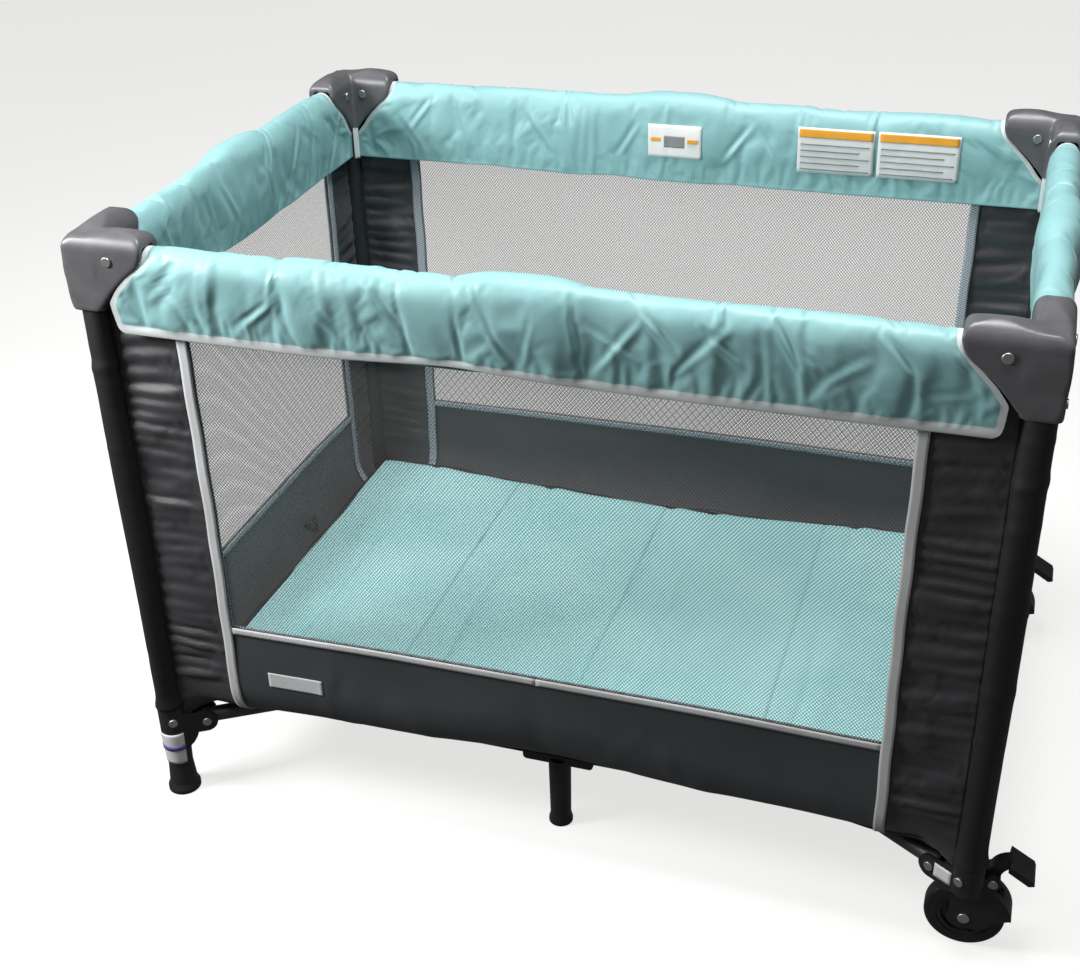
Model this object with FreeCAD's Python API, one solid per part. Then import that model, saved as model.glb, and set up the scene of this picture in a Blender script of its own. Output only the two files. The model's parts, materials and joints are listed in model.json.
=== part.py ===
"""Folding playpen: four legs, eight half rails, an X-shaped base, fabric tub and mattress.

Units are millimetres. Shapes are drawn about the centre of the pen: X runs along the long
sides, Y along the short sides and Z up from the floor. Every node is then moved so that the
origin is the centre of the whole object's footprint, which the brake pedals lengthen on +X.
"""
import FreeCAD
import Part
import math
import os

V = FreeCAD.Vector
X_AXIS = V(1, 0, 0)
Y_AXIS = V(0, 1, 0)
Z_AXIS = V(0, 0, 1)

# ---- driving dimensions -------------------------------------------------------------------
half_length = 473.0         # leg axis from the centre, along X
half_width = 318.0          # leg axis from the centre, along Y
rail_height = 710.0         # axis of the rail tubes and their corner pivots
base_height = 102.0         # axis of the base tubes and their pivots

leg_radius = 12.5
rail_radius = 11.0
base_radius = 9.5
arm_radius = 7.0
tube_wall = 1.2
pin_radius = 3.0
screw_radius = 2.0
running_gap = 0.05          # radial clearance of every pin in what turns on it
side_gap = 0.5              # clearance beside every tube that turns in a slot

rail_pivot = 34.0           # leg axis to the rail's pivot
latch_pin = 18.0            # middle of a side to each latch pin
bracket_pivot = 40.0        # leg axis to the base tube's pivot, along the diagonal
arm_pivot = 16.0            # centre of the hub to the pivots of the middle arms
middle_foot_y = 243.0       # centre of the pen to each middle foot

casting_half = 19.0         # half the thickness of each lobe of a corner casting
casting_base = 652.0        # lowest edge of a corner casting
casting_top = 740.0         # crest of each lobe
casting_reach = 74.0        # leg axis to the end of a lobe
screw_height = 665.0        # screw that holds a corner casting on its leg

socket_radius = 17.0        # foot and wheel bracket around the leg
socket_top = 128.0
clevis_half = 14.0          # half the width of a foot bracket's two cheeks

wheel_radius = 42.5
wheel_half = 10.0
wheel_inset = 20.0          # leg axis to the wheel's middle plane, along Y
wheel_shift = 2.0           # leg axis to the wheel's axle, outward along X
axle_radius = 4.0
hub_radius = 30.0
fender_radius = 49.0
fender_plate = 4.0
pedal_pivot_out = 26.0      # leg axis to the pedal's pivot, outward along X
pedal_pivot_height = 98.0
pedal_reach = 67.0

latch_half = 40.0
latch_width = 17.0
latch_floor = 6.0
button_half = (9.0, 6.0)

fabric = 2.0
sleeve_top = 648.0
sleeve_base = 146.0
wall_top = 688.0
floor_top = 118.8
floor_sheet = 1.5

cover_half = 16.0
cover_wall = 2.8
cover_low = 636.0
cover_high = 726.0
cover_bulge = 6.0           # how much wider the cover is where it passes the latch

mattress_half_length = 455.0
mattress_half_width = 305.0
mattress_low = 119.1
mattress_high = 143.1
mattress_panels = 4
panel_gap = 0.8

# The brake pedals reach further out than the plain feet, so the middle of the footprint
# lies this far to +X of the middle of the pen.
foot_lip = 20.0
footprint_shift = (pedal_reach - foot_lip) / 2.0

diagonal_x = half_length - rail_pivot - latch_pin
diagonal_y = half_width - rail_pivot - latch_pin
base_span = math.hypot(diagonal_x, diagonal_y)
diagonal = V(diagonal_x / base_span, diagonal_y / base_span, 0)
across = V(-diagonal.y, diagonal.x, 0)
bracket_point = diagonal * bracket_pivot
hub_pivot = V(half_length, half_width, 0) - bracket_point - diagonal * base_span

CORNERS = {
    "front_left": (-1, -1),
    "front_right": (1, -1),
    "back_left": (-1, 1),
    "back_right": (1, 1),
}
FOOT_CORNERS = ("front_left", "back_left")


# ---- small helpers ------------------------------------------------------------------------
def block(x0, x1, y0, y1, z0, z1):
    """A box between two corners."""
    return Part.makeBox(x1 - x0, y1 - y0, z1 - z0, V(x0, y0, z0))


def rod(start, axis, radius, length):
    return Part.makeCylinder(radius, length, start, axis)


def rod_about(centre, axis, radius, half):
    """A cylinder of the given half length, centred on a point of its axis."""
    return rod(centre - axis * half, axis, radius, 2 * half)


def ring(start, axis, outer, inner, length):
    return rod(start, axis, outer, length).cut(rod(start, axis, inner, length))


def outline(points, to_3d):
    """A closed face through the points. An entry of two points is an arc and where it ends."""
    edges = []
    here = points[0]
    last = points[-1]
    closed = isinstance(last[0], tuple) and last[1] == points[0]
    for entry in points[1:] + ([] if closed else [points[0]]):
        if isinstance(entry[0], tuple):
            middle, end = entry
            edges.append(Part.Arc(to_3d(*here), to_3d(*middle), to_3d(*end)).toShape())
        else:
            end = entry
            edges.append(Part.LineSegment(to_3d(*here), to_3d(*end)).toShape())
        here = end
    return Part.Face(Part.Wire(edges))


def stadium(start, end, axis, radius, half):
    """A bar with round ends about two parallel pivots, as wide as 2 * half along axis."""
    along = end - start
    length = along.Length
    along.normalize()
    side = axis.cross(along)
    corner = end - axis * half - side * radius
    slab = Part.makePlane(2 * radius, length, corner, axis, side).extrude(axis * 2 * half)
    ends = [rod_about(point, axis, radius, half) for point in (start, end)]
    return slab.fuse(ends).removeSplitter()


def pivot_tube(start, end, axis, radius):
    """A hollow tube between two pivots, with round ends and a bore across each."""
    along = end - start
    length = along.Length
    along.normalize()
    skin = ring(start - along * radius, along, radius, radius - tube_wall, length + 2 * radius)
    tube = skin.common(stadium(start, end, axis, radius, radius))
    bores = [rod_about(point, axis, pin_radius + running_gap, 2 * radius) for point in (start, end)]
    return tube.cut(Part.Compound(bores))


def at_corner(shape, corner):
    """Move a shape drawn with X and Y pointing into the pen to its own corner."""
    sign_x, sign_y = CORNERS[corner]
    if sign_x > 0:
        shape = shape.mirror(V(0, 0, 0), X_AXIS)
    if sign_y > 0:
        shape = shape.mirror(V(0, 0, 0), Y_AXIS)
    shape.translate(V(sign_x * half_length, sign_y * half_width, 0))
    return shape


def along_side(shape, side):
    """Turn a shape drawn along X about the pen's centre line to its own side."""
    if side in ("left", "right"):
        shape.rotate(V(0, 0, 0), Z_AXIS, 90)
    places = {
        "front": V(0, -half_width, 0),
        "back": V(0, half_width, 0),
        "left": V(-half_length, 0, 0),
        "right": V(half_length, 0, 0),
    }
    shape.translate(places[side])
    return shape


def save(name, shape):
    """Write one node. A list becomes a group of separate solids."""
    if isinstance(shape, list):
        shape = Part.Compound(shape)
    solids = shape.Solids
    if not solids or not all(solid.isValid() for solid in solids):
        raise RuntimeError(name + " is not a valid solid")
    shape = solids[0] if len(solids) == 1 else Part.Compound(solids)
    shape.translate(V(-footprint_shift, 0, 0))
    shape.exportStep("parts/" + name + ".step")


# ---- legs ---------------------------------------------------------------------------------
def leg(low):
    """The steel leg tube inside its fabric sleeve, bored for its rivet and casting screw."""
    top = casting_base + 50.0
    tube = ring(V(0, 0, low), Z_AXIS, leg_radius, leg_radius - tube_wall, top - low)
    tube = tube.cut(rod_about(leg_rivet_place(), across, pin_radius, 30))
    return tube.cut(rod(V(-30, 0, screw_height), X_AXIS, screw_radius, 25))


def casting_lobe():
    """One lobe of the corner casting: a hood along X, open below and at its end."""
    half = casting_half
    roof = casting_top
    points = [
        (-half + 4, casting_base),
        ((-half, casting_base + 28), (-half, roof - 24)),
        ((-half + 4, roof - 12), (-half + 13, roof - 7)),
        ((10, roof - 6), (28, roof - 2.5)),
        ((46, roof), (62, roof - 3)),
        ((71, roof - 7), (casting_reach, roof - 16)),
        ((casting_reach - 3, roof - 28), (62, roof - 39)),
        ((41, roof - 57), (22, casting_base + 9)),
        (13, casting_base),
    ]
    face = outline(points, lambda x, z: V(x, -half, z))
    hood = face.extrude(V(0, 2 * half, 0))
    crown = [
        (-half, casting_base - 5),
        (half, casting_base - 5),
        (half, roof - 20),
        ((half - 5, roof - 7), (half - 17, roof)),
        (-half + 17, roof),
        ((-half + 5, roof - 7), (-half, roof - 20)),
    ]
    arch = outline(crown, lambda y, z: V(-half - 5, y, z)).extrude(V(casting_reach + half + 10, 0, 0))
    return hood.common(arch)


def corner_casting():
    """Two lobes at right angles on the top of a leg, slotted for the two rails."""
    lobe = casting_lobe()
    other = lobe.mirror(V(0, 0, 0), V(1, -1, 0))
    body = lobe.fuse(other)
    slot_half = rail_radius + side_gap
    start = rail_pivot - rail_radius - 1
    roof = rail_height + rail_radius + 3
    end = casting_reach + 10
    body = body.cut(block(start, end, -slot_half, slot_half, casting_base - 10, roof))
    body = body.cut(block(-slot_half, slot_half, start, end, casting_base - 10, roof))
    body = body.cut(rod(V(0, 0, casting_base - 5), Z_AXIS, leg_radius + running_gap, 55.5))
    for centre, axis in rail_pin_places():
        body = body.cut(rod_about(centre, axis, pin_radius, 2 * casting_half))
    return body.cut(rod(V(-30, 0, screw_height), X_AXIS, screw_radius, 20)).removeSplitter()


def rail_pin_places():
    return (
        (V(rail_pivot, 0, rail_height), Y_AXIS),
        (V(0, rail_pivot, rail_height), X_AXIS),
    )


def headed_pin(centre, axis, radius, half, head_radius=5.5, head=1.8):
    """A pin or screw with a low domed head at each end."""
    pin = rod_about(centre, axis, radius, half)
    for sign in (-1, 1):
        outward = axis * sign
        cap = rod(centre + outward * half, outward, head_radius, head)
        rim = [e for e in cap.Edges if (e.BoundBox.Center - centre).dot(outward) > half + head / 2]
        pin = pin.fuse(cap.makeFillet(head * 0.6, rim))
    return pin.removeSplitter()


def bracket_cheeks():
    """The clevis that holds a base tube, drawn along X and turned to the diagonal."""
    low = base_height - 14
    high = base_height + 14
    end = bracket_pivot + 13
    points = [
        (0, low - 26),
        ((14, low - 20), (bracket_pivot - 12, low)),
        (bracket_pivot, low),
        ((end, base_height), (bracket_pivot, high)),
        (0, high),
    ]
    face = outline(points, lambda x, z: V(x, -clevis_half, z))
    cheeks = face.extrude(V(0, 2 * clevis_half, 0))
    slot_half = base_radius + side_gap
    slot_start = bracket_pivot - base_radius - 6
    cheeks = cheeks.cut(block(slot_start, end + 5, -slot_half, slot_half, low - 30, high + 5))
    pivot = V(bracket_pivot, 0, base_height)
    cheeks = cheeks.cut(rod_about(pivot, Y_AXIS, pin_radius, 2 * clevis_half))
    cheeks.rotate(V(0, 0, 0), Z_AXIS, math.degrees(math.atan2(diagonal.y, diagonal.x)))
    return cheeks


def leg_rivet_place():
    return V(0, 0, base_height + 8)


def foot():
    """The moulded foot of a plain leg, with its bracket for the base tube."""
    points = [
        (0, 0),
        (foot_lip, 0),
        (foot_lip, 5),
        (socket_radius, 12),
        (socket_radius - 2, 40),
        (socket_radius, 84),
        (socket_radius, socket_top),
        (0, socket_top),
    ]
    body = outline(points, lambda r, z: V(r, 0, z)).revolve(V(0, 0, 0), Z_AXIS, 360)
    body = body.fuse(bracket_cheeks())
    body = body.cut(rod(V(0, 0, 14), Z_AXIS, leg_radius + running_gap, socket_top))
    return body.cut(rod_about(leg_rivet_place(), across, pin_radius, 30)).removeSplitter()


def fender_outline():
    """The side plate of a wheel fender, in outward and height coordinates about the axle."""
    radius = fender_radius
    tilt = math.radians(48)
    return [
        (-18, -2),
        ((-10, -13), (4, -13)),
        ((20, -12), (30, 0)),
        (radius - 1, 8),
        ((radius * math.cos(tilt), radius * math.sin(tilt)), (0, radius)),
        (-26, 41),
        ((-17, 20), (-18, -2)),
    ]


def wheel_centre():
    return V(-wheel_shift, wheel_inset, wheel_radius)


def pedal_pivot():
    return V(-pedal_pivot_out, wheel_inset, pedal_pivot_height)


def fender():
    """Two side plates and a roof over the wheel, with ears for the brake pedal."""
    centre = wheel_centre()
    plates = []
    for low in (-wheel_half - 1 - fender_plate, wheel_half + 1):
        face = outline(fender_outline(), lambda o, z: V(centre.x - o, centre.y + low, centre.z + z))
        plate = face.extrude(V(0, fender_plate, 0))
        ear = rod(V(pedal_pivot().x, centre.y + low, pedal_pivot_height), Y_AXIS, 9.0, fender_plate)
        strut = stadium(
            V(pedal_pivot().x, centre.y + low + fender_plate / 2, pedal_pivot_height),
            V(centre.x - 12, centre.y + low + fender_plate / 2, centre.z + 38),
            Y_AXIS, 9.0, fender_plate / 2)
        plates.append(plate.fuse([ear, strut]))
    depth = 2 * (wheel_half + 1 + fender_plate)
    start = V(centre.x, centre.y - depth / 2, centre.z)
    roof = ring(start, Y_AXIS, fender_radius, fender_radius - fender_plate, depth)
    wedge = outline([(0, 0), (80, 12), (80, 80), (-30, 80)],
                    lambda o, z: V(centre.x - o, start.y - 1, centre.z + z))
    roof = roof.common(wedge.extrude(V(0, depth + 2, 0)))
    window = block(centre.x - 38, centre.x - 12, centre.y - 7, centre.y + 7, centre.z + 30, centre.z + 60)
    return plates[0].fuse([plates[1], roof.cut(window)])


def wheel_bracket():
    """The moulded end of a wheeled leg: socket, base-tube bracket and wheel fender."""
    socket_low = wheel_radius * 2 + 5
    body = rod(V(0, 0, socket_low), Z_AXIS, socket_radius, socket_top - socket_low)
    web = block(-12, 12, 4, wheel_inset + wheel_half + 1, socket_low, socket_low + 13)
    cheeks = bracket_cheeks().cut(rod_about(wheel_centre(), Y_AXIS, fender_radius - 1, 60))
    body = body.fuse([web, cheeks, fender()])
    body = body.cut(rod(V(0, 0, socket_low + 4), Z_AXIS, leg_radius + running_gap, socket_top))
    body = body.cut(rod_about(leg_rivet_place(), across, pin_radius, 30))
    body = body.cut(rod_about(wheel_centre(), Y_AXIS, axle_radius, 40))
    tread_room = rod_about(wheel_centre(), Y_AXIS, wheel_radius + 1.5, wheel_half + 0.9)
    body = body.cut(tread_room)
    return body.cut(rod_about(pedal_pivot(), Y_AXIS, pin_radius, 40)).removeSplitter()


def leg_fasteners(wheeled):
    """Rail pins, casting screw, rivets and, on a wheeled leg, the axle and pedal pin."""
    pins = [headed_pin(centre, axis, pin_radius, casting_half) for centre, axis in rail_pin_places()]
    screw = rod(V(-casting_half - 1, 0, screw_height), X_AXIS, screw_radius, 10)
    screw_head = rod(V(-casting_half - 1.8, 0, screw_height), X_AXIS, 4.5, 1.75)
    pins.append(screw_head.fuse(screw))
    pins.append(headed_pin(bracket_point + V(0, 0, base_height), across, pin_radius, clevis_half))
    pins.append(headed_pin(leg_rivet_place(), across, pin_radius, socket_radius))
    if wheeled:
        depth = wheel_half + 1 + fender_plate
        pins.append(headed_pin(wheel_centre(), Y_AXIS, axle_radius, depth, head_radius=6.5))
        pins.append(headed_pin(pedal_pivot(), Y_AXIS, pin_radius, depth))
    return pins


# ---- wheels and brakes --------------------------------------------------------------------
def wheel_hub():
    centre = wheel_centre()
    disc = rod_about(centre, Y_AXIS, hub_radius, wheel_half - 1)
    dish = ring(centre + V(0, -wheel_half, 0), Y_AXIS, hub_radius - 5, 11.0, 5)
    disc = disc.cut([dish, dish.mirror(centre, Y_AXIS)])
    return disc.cut(rod_about(centre, Y_AXIS, axle_radius + running_gap, 20))


def tyre():
    centre = wheel_centre()
    band = ring(centre - V(0, wheel_half, 0), Y_AXIS, wheel_radius, hub_radius, 2 * wheel_half)
    shoulders = [e for e in band.Edges if abs(e.BoundBox.XLength - 2 * wheel_radius) < 0.1]
    return band.makeFillet(4.0, shoulders)


def brake_pedal():
    """A lever on the fender: a round root, an arched arm, a foot pad and a brake tooth."""
    pivot = pedal_pivot()
    root = rod_about(pivot, Y_AXIS, 7.5, wheel_half + 0.5)
    arm_half = 7.0
    arm_points = [
        (20, 100),
        ((26, 120), (42, 128)),
        (47, 120),
        ((36, 112), (32, 95)),
    ]
    arm = outline(arm_points, lambda o, z: V(-o, pivot.y - arm_half, z)).extrude(V(0, 2 * arm_half, 0))
    pad_half = 17.0
    pad_points = [(40, 128), (pedal_reach - 2, 113), (pedal_reach, 108), (61, 106), (39, 120)]
    pad = outline(pad_points, lambda o, z: V(-o, pivot.y - pad_half, z)).extrude(V(0, 2 * pad_half, 0))
    tooth = block(-3, 3, pivot.y - 5, pivot.y + 5, -15, 0)
    tooth.translate(V(pivot.x, 0, pivot.z))
    tooth.rotate(pivot, Y_AXIS, 2)
    lever = root.fuse([arm, pad, tooth])
    return lever.cut(rod_about(pivot, Y_AXIS, pin_radius + running_gap, 40)).removeSplitter()


# ---- top rails ----------------------------------------------------------------------------
def half_rail(side_half, sign):
    """One half of a top rail, drawn along X from its corner pivot to its latch pin."""
    outer = V(sign * (side_half - rail_pivot), 0, rail_height)
    inner = V(sign * latch_pin, 0, rail_height)
    return pivot_tube(outer, inner, Y_AXIS, rail_radius)


def latch_housing():
    """The channel that joins two half rails, with its two pins as separate solids."""
    slot_half = rail_radius + side_gap
    low = rail_height - rail_radius - side_gap - latch_floor
    high = rail_height + 6
    body = block(-latch_half, latch_half, -latch_width, latch_width, low, high)
    upright = [e for e in body.Edges if e.BoundBox.ZLength > 10]
    body = body.makeFillet(5.0, upright)
    body = body.cut(block(-60, 60, -slot_half, slot_half, low + latch_floor, high + 5))
    half_x, half_y = button_half
    body = body.cut(block(-half_x - 0.3, half_x + 0.3, -half_y - 0.3, half_y + 0.3, low - 5, high))
    pins = []
    for sign in (-1, 1):
        centre = V(sign * latch_pin, 0, rail_height)
        body = body.cut(rod_about(centre, Y_AXIS, pin_radius, 30))
        pins.append(rod_about(centre, Y_AXIS, pin_radius, latch_width + 0.8))
    return [body] + pins


def latch_button():
    """The release button in the floor of a latch housing. It is pushed up."""
    half_x, half_y = button_half
    low = rail_height - rail_radius - side_gap - latch_floor - 4
    stem = block(-half_x, half_x, -half_y, half_y, low, low + 9)
    return stem.makeFillet(2.0, [e for e in stem.Edges if e.BoundBox.ZLength > 5])


def rail_cover(side_half):
    """The padded cover of one rail: an upside-down channel, wider at the latch."""
    half = side_half - casting_reach - 4
    inner = cover_half - cover_wall
    shell = block(-half, half, -cover_half, cover_half, cover_low, cover_high)
    wide = latch_half + 8
    shell = shell.fuse(block(-wide, wide, -cover_half - cover_bulge, cover_half + cover_bulge,
                             cover_low, cover_high))
    roof = cover_high - 3.5
    shell = shell.cut(block(-half - 5, half + 5, -inner, inner, cover_low - 5, roof))
    room = latch_half + 4
    return shell.cut(block(-room, room, -inner - cover_bulge, inner + cover_bulge,
                           cover_low - 5, roof)).removeSplitter()


# ---- base ---------------------------------------------------------------------------------
def base_tube():
    """A diagonal tube from the bracket at one corner to the central hub, cut short there."""
    start = bracket_point + V(0, 0, base_height)
    tube = pivot_tube(start, start + diagonal * base_span, across, base_radius)
    return tube.cut(rod(start + diagonal * (base_span + 6), diagonal, 2 * base_radius, 10))


def hub_pins():
    """Where each pin of the hub is, and which way it points."""
    places = []
    for sign_x, sign_y in CORNERS.values():
        centre = V(sign_x * hub_pivot.x, sign_y * hub_pivot.y, base_height)
        places.append((centre, V(-sign_x * diagonal.y, sign_y * diagonal.x, 0), 13.0))
    for sign_y in (-1, 1):
        places.append((V(0, sign_y * arm_pivot, base_height), X_AXIS, 11.0))
    return places


def hub():
    """The moulded centre of the base, slotted below for four tubes and two arms."""
    low = base_height - 11
    high = base_height + 15
    body = block(-46, 46, -56, 56, low, high)
    corners = [e for e in body.Edges if e.BoundBox.ZLength > 5]
    body = body.makeFillet(14.0, corners)
    roof = base_height + base_radius + 1
    slot_half = base_radius + side_gap
    for sign_x, sign_y in CORNERS.values():
        slot = block(-base_radius - 1, 120, -slot_half, slot_half, low - 5, roof)
        angle = math.degrees(math.atan2(sign_y * diagonal.y, sign_x * diagonal.x))
        slot.rotate(V(0, 0, 0), Z_AXIS, angle)
        slot.translate(V(sign_x * hub_pivot.x, sign_y * hub_pivot.y, 0))
        body = body.cut(slot)
    arm_slot = arm_radius + side_gap
    for sign_y in (-1, 1):
        near = arm_pivot - arm_radius - 1
        ends = sorted((sign_y * near, sign_y * 120))
        body = body.cut(block(-arm_slot, arm_slot, ends[0], ends[1], low - 5, roof))
    for centre, axis, half in hub_pins():
        body = body.cut(rod_about(centre, axis, pin_radius, half))
    return body.removeSplitter()


def middle_arm():
    """A short tube from the hub to a middle foot, drawn at the front."""
    start = V(0, -arm_pivot, base_height)
    return pivot_tube(start, V(0, -middle_foot_y, base_height), X_AXIS, arm_radius)


def middle_foot():
    """A T-shaped foot on the end of a middle arm, with its pin and two rivets."""
    bar_low = base_height - 10
    bar_high = base_height + 9
    body = block(-43, 43, -9, 9, bar_low, bar_high)
    body = body.makeFillet(5.0, [e for e in body.Edges if e.BoundBox.YLength > 10 and e.BoundBox.XLength < 1])
    points = [
        (0, 0),
        (14.5, 0),
        (14.5, 4),
        (12.5, 12),
        (13.5, bar_low + 5),
        (0, bar_low + 5),
    ]
    body = body.fuse(outline(points, lambda r, z: V(r, 0, z)).revolve(V(0, 0, 0), Z_AXIS, 360))
    slot_half = arm_radius + side_gap
    floor = base_height - arm_radius - 1
    body = body.cut(block(-slot_half, slot_half, -arm_radius - 1, 20, floor, bar_high + 5))
    body = body.cut(rod_about(V(0, 0, base_height), X_AXIS, pin_radius, 16))
    solids = [body.removeSplitter(), rod_about(V(0, 0, base_height), X_AXIS, pin_radius, 15.5)]
    for sign in (-1, 1):
        rivet = V(sign * 30, -9, base_height)
        solids.append(rod(rivet, V(0, -1, 0), 4.5, 1.6))
    group = Part.Compound(solids)
    group.translate(V(0, -middle_foot_y, 0))
    return group


# ---- fabric tub and mattress --------------------------------------------------------------
def tub_corner():
    """A quarter of the fabric tub: leg sleeve, two half walls and a quarter of the floor."""
    half = fabric / 2
    low = floor_top - floor_sheet
    end_x = half_length - 0.3
    end_y = half_width - 0.3
    start = socket_radius - 2.5
    body = ring(V(0, 0, sleeve_base), Z_AXIS, leg_radius + 2.7, leg_radius + 0.7, sleeve_top - sleeve_base)
    walls = [
        block(start, end_x, -half, half, low, wall_top),
        block(-half, half, start, end_y, low, wall_top),
        block(-half, end_x, -half, end_y, low, floor_top),
    ]
    body = body.fuse(walls)
    notch = casting_reach + 6
    top_low = casting_base - 8
    body = body.cut(block(start + 1.5, notch, -5, 5, top_low, wall_top + 5))
    body = body.cut(block(-5, 5, start + 1.5, notch, top_low, wall_top + 5))
    body = body.cut(block(-6, start + 1.5, -6, start + 1.5, sleeve_top, wall_top + 5))
    body = body.cut(rod(V(0, 0, 0), Z_AXIS, socket_radius + 3, socket_top + 6))
    body = body.cut(rod(V(0, 0, 0), Z_AXIS, leg_radius + 0.7, wall_top + 5))
    return body.removeSplitter()


def mattress_panel(index):
    width = 2 * mattress_half_length / mattress_panels
    left = -mattress_half_length + index * width
    pad = block(left + panel_gap / 2, left + width - panel_gap / 2,
                -mattress_half_width, mattress_half_width, mattress_low, mattress_high)
    upright = [e for e in pad.Edges if e.BoundBox.ZLength > 10]
    return pad.makeFillet(6.0, upright)


# ---- write every node ---------------------------------------------------------------------
def build_corners():
    for corner in CORNERS:
        wheeled = corner not in FOOT_CORNERS
        low = 2 * wheel_radius + 9 if wheeled else 14
        save("leg_" + corner, at_corner(leg(low), corner))
        save("corner_casting_" + corner, at_corner(corner_casting(), corner))
        fasteners = Part.Compound(leg_fasteners(wheeled))
        save("fasteners_" + corner, at_corner(fasteners, corner))
        save("tub_corner_" + corner, at_corner(tub_corner(), corner))
        save("base_tube_" + corner, at_corner(base_tube(), corner))
        if wheeled:
            end = corner.split("_")[0]
            save("wheel_bracket_" + end, at_corner(wheel_bracket(), corner))
            save("wheel_hub_" + end, at_corner(wheel_hub(), corner))
            save("tyre_" + end, at_corner(tyre(), corner))
            save("brake_pedal_" + end, at_corner(brake_pedal(), corner))
        else:
            save("foot_" + corner, at_corner(foot(), corner))


def build_sides():
    ends = {
        "front": (half_length, "left", "right"),
        "back": (half_length, "left", "right"),
        "left": (half_width, "front", "back"),
        "right": (half_width, "front", "back"),
    }
    for side, (side_half, low_end, high_end) in ends.items():
        for end, sign in ((low_end, -1), (high_end, 1)):
            save("rail_" + side + "_" + end, along_side(half_rail(side_half, sign), side))
        save("latch_housing_" + side, along_side(Part.Compound(latch_housing()), side))
        save("latch_button_" + side, along_side(latch_button(), side))
        save("rail_cover_" + side, along_side(rail_cover(side_half), side))


def build_base():
    save("hub", hub())
    save("hub_pins", [rod_about(centre, axis, pin_radius, half) for centre, axis, half in hub_pins()])
    for end in ("front", "back"):
        arm = middle_arm()
        middle = middle_foot()
        if end == "back":
            arm = arm.mirror(V(0, 0, 0), Y_AXIS)
            middle = middle.mirror(V(0, 0, 0), Y_AXIS)
        save("middle_arm_" + end, arm)
        save("middle_foot_" + end, middle)


def main():
    os.makedirs("parts", exist_ok=True)
    build_corners()
    build_sides()
    build_base()
    for index in range(mattress_panels):
        save("mattress_panel_" + str(index + 1), mattress_panel(index))


main()
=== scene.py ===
"""Looks of the folding playpen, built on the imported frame. Units are metres."""
import json
import math

import bmesh
import bpy
import numpy as np
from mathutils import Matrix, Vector
from mathutils.bvhtree import BVHTree


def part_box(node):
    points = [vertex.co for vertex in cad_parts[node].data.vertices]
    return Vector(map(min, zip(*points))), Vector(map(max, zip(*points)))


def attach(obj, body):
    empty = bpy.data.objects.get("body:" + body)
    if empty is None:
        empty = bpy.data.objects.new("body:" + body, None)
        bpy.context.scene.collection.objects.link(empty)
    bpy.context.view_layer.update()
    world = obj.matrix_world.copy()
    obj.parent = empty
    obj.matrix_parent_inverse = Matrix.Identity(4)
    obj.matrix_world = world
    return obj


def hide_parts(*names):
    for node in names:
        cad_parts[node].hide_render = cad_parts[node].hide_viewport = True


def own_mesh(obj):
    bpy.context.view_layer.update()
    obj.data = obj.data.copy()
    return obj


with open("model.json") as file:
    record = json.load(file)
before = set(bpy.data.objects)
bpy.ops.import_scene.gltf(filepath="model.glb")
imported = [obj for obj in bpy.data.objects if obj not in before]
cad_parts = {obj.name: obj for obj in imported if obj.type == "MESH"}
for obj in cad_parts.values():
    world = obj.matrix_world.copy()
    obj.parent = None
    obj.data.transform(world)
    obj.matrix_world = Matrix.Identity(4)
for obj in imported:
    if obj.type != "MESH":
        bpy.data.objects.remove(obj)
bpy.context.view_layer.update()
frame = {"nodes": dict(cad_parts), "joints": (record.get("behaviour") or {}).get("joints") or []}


# ---- places taken from the frame ----------------------------------------------------------
def middle_of(node):
    low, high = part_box(node)
    return (Vector(low) + Vector(high)) / 2


left_post = middle_of("leg_front_left")
right_post = middle_of("leg_front_right")
back_post = middle_of("leg_back_left")
CX = (left_post.x + right_post.x) / 2
POST_X = (right_post.x - left_post.x) / 2
POST_Y = (back_post.y - left_post.y) / 2
RAIL_Z = middle_of("rail_front_left").z
FLOOR_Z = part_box("tub_corner_front_left")[0][2] + 0.0008
PAD_LOW, PAD_HIGH = (corner[2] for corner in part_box("mattress_panel_1"))
FOLD = math.radians(max(j["range_deg"][1] for j in frame["joints"] if j["name"] == "frame_fold"))
SPAN_IN = 0.052                       # part of each half side that stays when folded
KEEP_X = (SPAN_IN + (POST_X - SPAN_IN) * math.cos(FOLD)) / POST_X
KEEP_Y = (SPAN_IN + (POST_Y - SPAN_IN) * math.cos(FOLD)) / POST_Y

# Each side runs along an axis: half its length, its middle, and its low and high ends.
SIDES = {
    "front": dict(axis=0, half=POST_X, middle=CX, ends=("left", "right")),
    "back": dict(axis=0, half=POST_X, middle=CX, ends=("left", "right")),
    "left": dict(axis=1, half=POST_Y, middle=0.0, ends=("front", "back")),
    "right": dict(axis=1, half=POST_Y, middle=0.0, ends=("front", "back")),
}
LONG = 0.4                            # a long side's half length is more than this
SURFACES = {}                         # finished covers and bands, for the labels to lie on
CORNERS = {
    "front_left": (-1, -1),
    "front_right": (1, -1),
    "back_left": (-1, 1),
    "back_right": (1, 1),
}


def corner_of(side, end):
    """The leg at that end of a side, as its node suffix."""
    return side + "_" + end if SIDES[side]["axis"] == 0 else end + "_" + side


def end_of(side, sign):
    """The name of a side's low or high end."""
    return SIDES[side]["ends"][0 if sign < 0 else 1]


def side_point(side, t, n, z):
    """A point from the place along a side, the distance outward and the height."""
    if side == "front":
        return (CX + t, -POST_Y - n, z)
    if side == "back":
        return (CX + t, POST_Y + n, z)
    if side == "left":
        return (CX - POST_X - n, t, z)
    return (CX + POST_X + n, t, z)


def stack(*parts):
    """Grids of x, y and z, or of u and v, as one grid of points."""
    return np.stack(parts, -1)


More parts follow.
